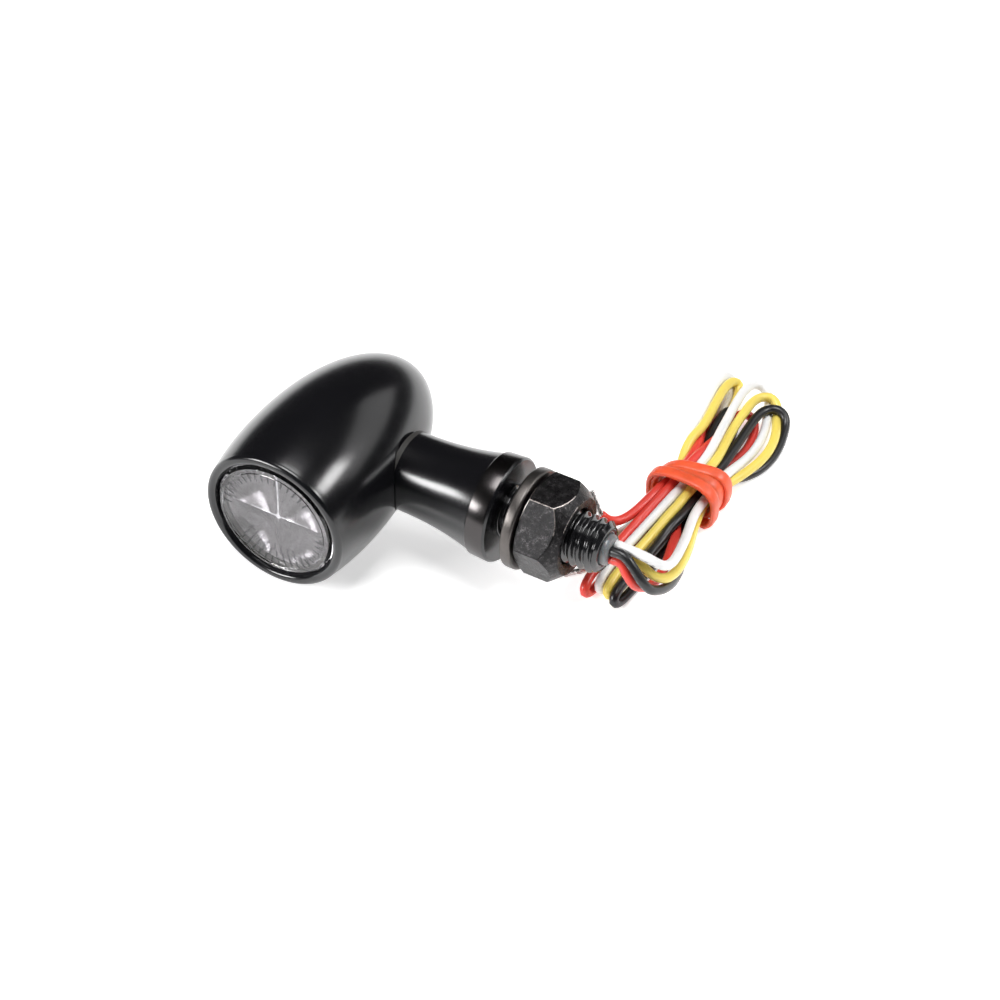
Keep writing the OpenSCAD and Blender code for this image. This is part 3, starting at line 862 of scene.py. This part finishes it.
class SIGNAL_OT_housing(bpy.types.Operator):
    """Turns the bullet housing and bores its socket for the stem"""

    bl_idname = "signal.housing"
    bl_label = "Housing"

    def execute(self, context):
        inside = [(0, 8.5), (4.5, 8.5), (7.8, 1), (7.8, -9.8), (9.4, -9.8), (9.4, -17.6)]
        lip_radius, lip_y = LIP_CENTRE
        lip = [(lip_radius - LIP_ROUND * math.cos(a), lip_y - LIP_ROUND * math.sin(a))
               for a in np.linspace(0, math.pi, 19)]
        front = [(body_radius(y), y) for y in np.linspace(-17.9, BELLY_Y, 14)]
        places = [BELLY_Y + TAIL_REACH * math.sin(a)
                  for a in np.linspace(0, math.pi / 2, 34)[1:-1]]
        back = [(body_radius(y), y) for y in places]
        profile = inside + lip + front + back + [(0, 17.6)]
        centre = (HOUSING_X, 0, 0)
        housing = turned("housing_shell", profile, Y_AXIS, centre, 192)
        uncut = housing.copy()
        uncut.data = housing.data.copy()
        bpy.context.scene.collection.objects.link(uncut)
        smooth_by_angle(uncut, 28)
        socket = [(0, -20.1), (SOCKET_RADIUS, -20.1), (SOCKET_RADIUS, -16.9), (6, -16.9),
                  (6, -8), (0, -8)]
        carve(housing, turned("socket", socket, X_AXIS, (0, 0, 0), 96))
        smooth_by_angle(housing, 28)
        outer = housing.vertex_groups.new(name="outside")
        for v in housing.data.vertices:
            x, y, z = v.co / MM
            r = math.hypot(x - HOUSING_X / MM, z)
            if abs(r - body_radius(y)) < 0.02:
                outer.add([v.index], 1.0, "REPLACE")
        apply_modifier(housing, "DATA_TRANSFER", object=uncut, use_loop_data=True,
                       data_types_loops={"CUSTOM_NORMAL"}, loop_mapping="POLYINTERP_NEAREST",
                       vertex_group="outside")
        bpy.data.objects.remove(uncut)
        housing.vertex_groups.clear()
        colour = tuple(context.scene.signal_colours.body)
        finish = gloss_black("gloss black housing", (0, 1, 0), colour)
        finished(housing, "root", [finish], ["housing"])
        return {"FINISHED"}


class SIGNAL_OT_stem(bpy.types.Operator):
    """Turns the flared stem with its polished band and seat"""

    bl_idname = "signal.stem"
    bl_label = "Stem"

    def execute(self, context):
        flare = [(5.8 + 1.85 * s**2.2, -16.1 + 13.7 * s) for s in np.linspace(0, 0.935, 26)]
        core = [(STUD_RADIUS, 0), (STUD_RADIUS, STUD_INNER_END), (2.2, STUD_INNER_END),
                (2.2, -20.1), (4.1, -20.1), (SOCKET_RADIUS, -19.7), (SOCKET_RADIUS, -16.1)]
        edge = [(7.56, -3.2), (7.66, -3.08), (7.8, -0.5), (7.74, -0.3), (7.46, 0),
                (STUD_RADIUS, 0)]
        edge = fillet(edge, {1: 0.1, 3: 0.15, 4: 0.08}, 4)
        stem = turned("stem_body", core + flare + edge, X_AXIS, (0, 0, 0), 160)
        smooth_by_angle(stem, 24)
        colour = tuple(context.scene.signal_colours.body)
        finish = gloss_black("gloss black stem", (1, 0, 0), colour)
        polish = gloss_black("polished band", (1, 0, 0), (0.06, 0.056, 0.056), 1.0, 0.22)
        finished(stem, "root", [finish, polish], ["stem"])
        for face in stem.data.polygons:
            x, y, z = face.center / MM
            if -3.1 < x < -0.4 and math.hypot(y, z) > 7.6:
                face.material_index = 1
        return {"FINISHED"}


def thread_radius(x, angle, top, depth):
    """Radius of a right-hand thread at a place and an angle, in millimetres."""
    phase = (x / PITCH - angle / math.tau) % 1
    wave = abs(phase * 2 - 1)
    return top - depth * min(max((wave - 0.14) / 0.72, 0), 1)


def threaded_tube(name, low, high, top, depth, bore):
    """A tube with a helical thread: rings of points moved in and out along the helix."""
    ring_gap, mouth, lead_in = 0.1, 0.12, 0.75
    rings = int((high - low) / ring_gap)
    outer = [(top, x) for x in np.linspace(low, high, rings)]
    profile = outer + [(bore + mouth, high), (bore, high - mouth), (bore, low), (top, low)]
    rod = turned(name, profile, X_AXIS, (0, 0, 0), 84)
    for v in rod.data.vertices:
        x, y, z = v.co / MM
        r = math.hypot(y, z)
        if r > top - 0.01:
            wanted = thread_radius(x, math.atan2(z, y), top, depth)
            wanted = min(wanted, top - lead_in + (high - x) * 1.05)
            v.co.y *= wanted / r
            v.co.z *= wanted / r
    return rod


class SIGNAL_OT_stud(bpy.types.Operator):
    """Cuts the hollow stud's thread and moulds the plug that closes its bore"""

    bl_idname = "signal.stud"
    bl_label = "Stud and plug"

    def execute(self, context):
        depth = context.scene.signal_sizes.thread_depth / MM
        stud = threaded_tube("stud_thread", STUD_INNER_END, STUD_OUTER_END, STUD_RADIUS, depth,
                             STUD_BORE)
        smooth_by_angle(stud, 75)
        finished(stud, "root",
                 [simple("gloss black thread", (0.008, 0.008, 0.009), 0.14, scale=700.0,
                         tint=0.5, spread=0.08, bump=0.1, IOR=1.65)], ["threaded_stud"])
        dome = [(0, 11.2), (STUD_BORE, 11.2), (STUD_BORE, 15.3), (2.28, 15.6), (2.1, 15.95),
                (1.7, 16.15), (0, 16.2)]
        plug = turned("plug_dome", fillet(dome, {4: 0.15, 5: 0.2}), X_AXIS, (0, 0, 0), 64)
        lead_radius = 0.7
        hole = [(0, 10), (lead_radius, 10), (lead_radius, 17), (0, 17)]
        for y in (-LEAD_OFFSET, LEAD_OFFSET):
            for z in (-LEAD_OFFSET, LEAD_OFFSET):
                carve(plug, turned("lead hole", hole, X_AXIS, (0, y * MM, z * MM), 32))
        smooth_by_angle(plug, 40)
        finished(plug, "root",
                 [simple("silicone", (0.17, 0.175, 0.18), 0.25, scale=500.0, tint=0.3, spread=0.2,
                         bump=0.3, Subsurface_Weight=0.25, Subsurface_Scale=0.001)],
                 ["cable_seal"])
        return {"FINISHED"}


class SIGNAL_OT_nut(bpy.types.Operator):
    """Shapes the hex nut, chamfered and threaded, with worn edges and a painted highlight of bare
    steel round its upper corner
    """

    bl_idname = "signal.nut"
    bl_label = "Hex nut"

    def execute(self, context):
        low, high = NUT_LOW, NUT_HIGH
        corner = NUT_ACROSS_FLATS / 2 / math.cos(math.pi / 6)
        bpy.ops.object.select_all(action="DESELECT")
        bpy.ops.mesh.primitive_cylinder_add(
            vertices=6, radius=corner * MM, depth=(high - low) * MM,
            location=((low + high) / 2 * MM, 0, 0), rotation=(0, math.pi / 2, 0))
        nut = bpy.context.object
        nut.name = nut.data.name = "nut_body"
        bpy.ops.object.transform_apply(location=True, rotation=True, scale=True)
        points = [v.co / MM for v in nut.data.vertices if v.co.x > high * MM - 1e-6]
        now = math.atan2(points[0].z, points[0].y)
        nut.data.transform(Matrix.Rotation(math.radians(NUT_TURN) - now, 4, "X"))
        clear = corner + 0.12
        limit = [(0, low), (6.35, low), (clear, low + 0.62), (clear, high - 2.3), (5.65, high),
                 (0, high)]
        carve(nut, turned("chamfers", limit, X_AXIS, (0, 0, 0), 96), "INTERSECT")
        bore = [(0, low - 1), (NUT_BORE, low - 1), (NUT_BORE, high + 1), (0, high + 1)]
        carve(nut, turned("bore", bore, X_AXIS, (0, 0, 0), 84))
        # two empty slots, so that the bevel can give its faces the second
        nut.data.materials.append(None)
        nut.data.materials.append(None)
        apply_modifier(nut, "BEVEL", width=0.21 * MM, segments=2, limit_method="ANGLE",
                       angle_limit=math.radians(20), material=1)
        for top, bottom, lift in ((low, low - 1, 1), (high, high + 1, -1)):
            cone = [(0, bottom), (5.6, bottom), (4.6, top), (4.1, top + lift * 0.5),
                    (0, top + lift * 0.5)]
            carve(nut, turned("mouth", cone, X_AXIS, (0, 0, 0), 84))
        smooth_by_angle(nut, 9)
        finished(nut, "nut",
                 [speckled_black("speckled black oxide", (0.010, 0.0095, 0.010), 0.5),
                  self.worn_edge()], ["hex_nut"])
        return {"FINISHED"}

    def worn_edge(self):
        """Steel that shows through at the edges: partly wear, and partly a painted highlight
        massed round the upper corner.
        """
        made, tree, shader, grain, _ = material(
            "worn edge", (0.80, 0.72, 0.68), 0.3, 1.0, scale=900.0, tint=0.6, spread=0.3)
        patches = put(tree, "ShaderNodeTexNoise", {"Vector": place_vector(tree)}, Scale=420.0,
                      Detail=4.0, Roughness=0.7)
        # painted highlight: the bare steel gathers round the upper corner at (7.4, -3.0, 6.8) mm
        away = put(tree, "ShaderNodeVectorMath", {0: place_vector(
            tree, (7.4 * MM, -3.0 * MM, 6.8 * MM))}, operation="LENGTH")
        lit_corner = ranged(tree, away.outputs["Value"], 5.5 * MM, 3.0 * MM, 0.12, 0.95)
        limit = maths(tree, "SUBTRACT", 0.80, maths(tree, "MULTIPLY", lit_corner, 0.45))
        wear_and_highlight = ranged(tree, maths(tree, "SUBTRACT", patches.outputs["Fac"], limit), -0.12, 0.04)
        tree.links.new(mixed(tree, wear_and_highlight, (0.02, 0.019, 0.02), grain.outputs["Colour"]),
                       shader.inputs["Base Color"])
        return made


class SIGNAL_OT_washer(bpy.types.Operator):
    """Coils the split lock washer"""

    bl_idname = "signal.washer"
    bl_label = "Lock washer"

    def execute(self, context):
        low, high, rise = WASHER_LOW, WASHER_HIGH, 0.22
        inner, outer = WASHER_INNER, WASHER_OUTER
        section = [(inner, low), (outer, low), (outer, high - rise), (inner, high - rise),
                   (inner, low), (outer, low)]
        section = fillet(section, {1: 0.42, 2: 0.42, 3: 0.2, 4: 0.2}, 5)[1:-1]
        section.append(section[0])
        washer = turned("washer_coil", section, X_AXIS, (0, 0, 0), 120, math.radians(354))
        # the split stands on the far side; the coil rises towards its end
        washer.data.transform(Matrix.Rotation(math.radians(-87), 4, "X"))
        for v in washer.data.vertices:
            turn = (math.atan2(v.co.z, v.co.y) / math.tau) % 1
            v.co.x += rise * turn * MM
            lean = 0.0375 * (v.co.x / MM - (low + high) / 2)
            v.co.yz = Matrix.Rotation(lean, 2) @ v.co.yz
        smooth_by_angle(washer, 35)
        steel = simple("washer steel", (0.105, 0.096, 0.091), 0.38, 1.0, scale=350.0, tint=0.35,
                       spread=0.2, bump=0.4)
        finished(washer, "washer", [steel], ["lock_washer"])
        return {"FINISHED"}


class SIGNAL_OT_light(bpy.types.Operator):
    """Makes the lens and the four-bowl optic behind it"""

    bl_idname = "signal.light"
    bl_label = "Lens and optic"

    def execute(self, context):
        centre = (HOUSING_X, 0, 0)
        rim = [(0, LENS_BACK), (LENS_RADIUS, LENS_BACK), (LENS_RADIUS, -17.95),
               (8.85, LENS_FRONT), (8.5, LENS_FRONT), (8.4, -18.42), (8.2, -18.42),
               (8.1, LENS_FRONT), (0, LENS_FRONT)]
        lens = turned("lens_disc", fillet(rim, {2: 0.1, 3: 0.15}, 4), Y_AXIS, centre, 128)
        smooth_by_angle(lens, 24)
        finished(lens, "root", [lens_material()], ["lens"])
        optic = self.bowls()
        finished(optic, "root", [optic_material()], ["collimator_optic"])
        return {"FINISHED"}

    def bowls(self):
        """Four square bowls that meet in a level cross of ridges."""
        pitch, deepest, edge, front = 3.9, 2.3, 8.3, -16.12
        rings, spokes = 48, 144
        points = [(0, front, 0)]
        for i in range(1, rings + 1):
            for k in range(spokes):
                r = edge * i / rings
                x, z = r * math.cos(k * math.tau / spokes), r * math.sin(k * math.tau / spokes)
                across = max(0, 1 - ((abs(x) - pitch) / pitch) ** 2)
                rise = max(0, 1 - ((abs(z) - pitch) / pitch) ** 2)
                depth = deepest * across * rise
                depth *= 1 - max(0, (r - edge + 0.35) / 0.35)
                points.append((x, front + depth, z))
        faces = [(0, 1 + (k + 1) % spokes, 1 + k) for k in range(spokes)]
        for i in range(rings - 1):
            for k in range(spokes):
                a, b = 1 + i * spokes + k, 1 + i * spokes + (k + 1) % spokes
                faces.append((a, b, b + spokes, a + spokes))
        points = [((HOUSING_X / MM + x) * MM, y * MM, z * MM) for x, y, z in points]
        optic = mesh_object("optic_bowls", points, faces)
        select_only(optic)
        bpy.ops.object.mode_set(mode="EDIT")
        bpy.ops.mesh.select_all(action="DESELECT")
        bpy.ops.mesh.select_non_manifold()
        bpy.ops.mesh.extrude_region_move(TRANSFORM_OT_translate={"value": (0, 4.1 * MM, 0)})
        bpy.ops.mesh.fill()
        bpy.ops.mesh.select_all(action="SELECT")
        bpy.ops.mesh.normals_make_consistent(inside=False)
        bpy.ops.object.mode_set(mode="OBJECT")
        smooth_by_angle(optic, 30)
        return optic


class SIGNAL_OT_inner_parts(bpy.types.Operator):
    """Gives the boards, chips, seals and inner leads their finishes"""

    bl_idname = "signal.inner_parts"
    bl_label = "Inner parts"

    def execute(self, context):
        colours = context.scene.signal_colours
        finishes = {
            "rubber": (("lens_seal", "stem_seal"), (0.03, 0.028, 0.026), 0.6, 0.0),
            "board enamel": (("led_board",), (0.70, 0.70, 0.66), 0.35, 0.0),
            "phosphor": (("led_packages",), (0.85, 0.62, 0.12), 0.3, 0.0),
            "board green": (("driver_board",), (0.02, 0.13, 0.05), 0.35, 0.0),
            "brass": (("link_pins",), (0.60, 0.45, 0.16), 0.3, 1.0),
            "chip black": (("driver_resistors", "driver_regulator", "protection_diode"),
                           (0.02, 0.02, 0.02), 0.5, 0.0),
            "capacitor tan": (("filter_capacitor",), (0.32, 0.22, 0.11), 0.45, 0.0),
            "inner black": (("inner_lead_black",), (0.012, 0.012, 0.013), 0.35, 0.0),
            "inner red": (("inner_lead_red",), tuple(colours.red), 0.35, 0.0),
            "inner yellow": (("inner_lead_yellow",), tuple(colours.yellow), 0.35, 0.0),
            "inner white": (("inner_lead_white",), (0.86, 0.86, 0.85), 0.35, 0.0),
        }
        for name, (nodes, colour, rough, metal) in finishes.items():
            made = simple(name, colour, rough, metal, bump=0.15)
            for node in nodes:
                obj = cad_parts[node]
                obj.data.materials.clear()
                obj.data.materials.append(made)
        return {"FINISHED"}


# ---------------------------------------------------------------- stage


class SIGNAL_OT_camera(bpy.types.Operator):
    """Sets the camera"""

    bl_idname = "signal.camera"
    bl_label = "Camera"

    def execute(self, context):
        data = bpy.data.cameras.new("camera")
        data.sensor_width = 36
        data.lens = 115.5
        data.clip_start = 0.01
        data.clip_end = 20
        camera = bpy.data.objects.new("camera", data)
        context.scene.collection.objects.link(camera)
        right = Vector((0.865711, 0.500514, 0.005494))
        up = Vector((-0.345514, 0.589602, 0.730062))
        back = right.cross(up).normalized()
        up = back.cross(right).normalized()
        turn = Matrix((right, up, back)).transposed().to_4x4()
        camera.matrix_world = Matrix.Translation((0.15958, -0.28244, 0.30569)) @ turn
        context.scene.camera = camera
        return {"FINISHED"}


# direction from the object as (turn from the front, height) in degrees, distance,
# width, height and strength of each soft light
LIGHTS = {
    "overhead": (0, 89, 0.7, 0.34, 0.34, 11.0),
    "front left": (-37, 25, 0.6, 0.30, 0.14, 25.0),
    "back right": (146, 32, 0.6, 0.56, 0.26, 1.3),
    "lip": (118, 40, 0.6, 0.17, 0.13, 19.0),
}


class SIGNAL_OT_stage(bpy.types.Operator):
    """Lays a plain pale floor under soft studio lights"""

    bl_idname = "signal.stage"
    bl_label = "Stage"

    def execute(self, context):
        bpy.ops.object.select_all(action="DESELECT")
        bpy.ops.mesh.primitive_circle_add(vertices=96, radius=1.2, fill_type="NGON",
                                          location=(0, 0, FLOOR_Z))
        floor = bpy.context.object
        floor.name = "floor"
        bpy.ops.object.transform_apply(location=True)
        floor.data.materials.append(
            simple("pale floor", tuple(context.scene.signal_colours.floor), 0.9, scale=3.0,
                   tint=0.01, spread=0.02, Emission_Color=(1, 1, 1, 1), Emission_Strength=0.6))
        target = Vector((-0.01, 0.005, 0))
        for name, (turn, height, away, width, tall, strength) in LIGHTS.items():
            a, e = math.radians(turn), math.radians(height)
            direction = Vector((math.sin(a) * math.cos(e), -math.cos(a) * math.cos(e),
                                math.sin(e)))
            data = bpy.data.lights.new(name, "AREA")
            data.shape = "RECTANGLE"
            data.size, data.size_y = width, tall
            data.energy = strength * math.pi * width * tall
            light = bpy.data.objects.new(name, data)
            context.scene.collection.objects.link(light)
            light.matrix_world = Matrix.Translation(target + direction * away) @ \
                direction.to_track_quat("Z", "Y").to_matrix().to_4x4()
        self.surround(context.scene)
        return {"FINISHED"}

    def surround(self, scene):
        """Dark above, with a pale horizon and pale below the floor's edge."""
        world = scene.world or bpy.data.worlds.new("surround")
        scene.world = world
        world.use_nodes = True
        tree = world.node_tree
        coordinates = tree.nodes.new("ShaderNodeTexCoord")
        split = put(tree, "ShaderNodeSeparateXYZ", {"Vector": coordinates.outputs["Generated"]})
        mask = ranged(tree, split.outputs["Z"], -0.05, 0.10)
        colour = mixed(tree, mask, (0.5, 0.5, 0.5), (0.03, 0.03, 0.031))
        background = tree.nodes["Background"]
        tree.links.new(colour, background.inputs["Color"])
        scene.view_settings.view_transform = "Standard"


class SIGNAL_PT_panel(bpy.types.Panel):
    """The pieces of the turn signal"""

    bl_label = "Turn signal"
    bl_idname = "SIGNAL_PT_panel"
    bl_space_type = "VIEW_3D"
    bl_region_type = "UI"
    bl_category = "Turn signal"

    def draw(self, context):
        for holder in (context.scene.signal_sizes, context.scene.signal_colours):
            for key in holder.__annotations__:
                self.layout.prop(holder, key)
        for operator in OPERATORS:
            self.layout.operator(operator.bl_idname)


OPERATORS = (
    SIGNAL_OT_camera, SIGNAL_OT_leads, SIGNAL_OT_band, SIGNAL_OT_housing, SIGNAL_OT_stem,
    SIGNAL_OT_stud, SIGNAL_OT_nut, SIGNAL_OT_washer, SIGNAL_OT_light, SIGNAL_OT_inner_parts,
    SIGNAL_OT_stage,
)
CLASSES = (SignalSizes, SignalColours, *OPERATORS, SIGNAL_PT_panel)


def register():
    """Registers the settings, the operators and the panel."""
    for each in CLASSES:
        bpy.utils.register_class(each)
    bpy.types.Scene.signal_sizes = bpy.props.PointerProperty(type=SignalSizes)
    bpy.types.Scene.signal_colours = bpy.props.PointerProperty(type=SignalColours)


def unregister():
    """Takes them away again."""
    del bpy.types.Scene.signal_sizes
    del bpy.types.Scene.signal_colours
    for each in reversed(CLASSES):
        bpy.utils.unregister_class(each)


def main():
    """Builds every piece in order."""
    register()
    build_groups()
    bpy.ops.signal.camera()
    bpy.ops.signal.leads()
    bpy.ops.signal.band()
    bpy.ops.signal.housing()
    bpy.ops.signal.stem()
    bpy.ops.signal.stud()
    bpy.ops.signal.nut()
    bpy.ops.signal.washer()
    bpy.ops.signal.light()
    bpy.ops.signal.inner_parts()
    bpy.ops.signal.stage()


if __name__ == "__main__":
    main()
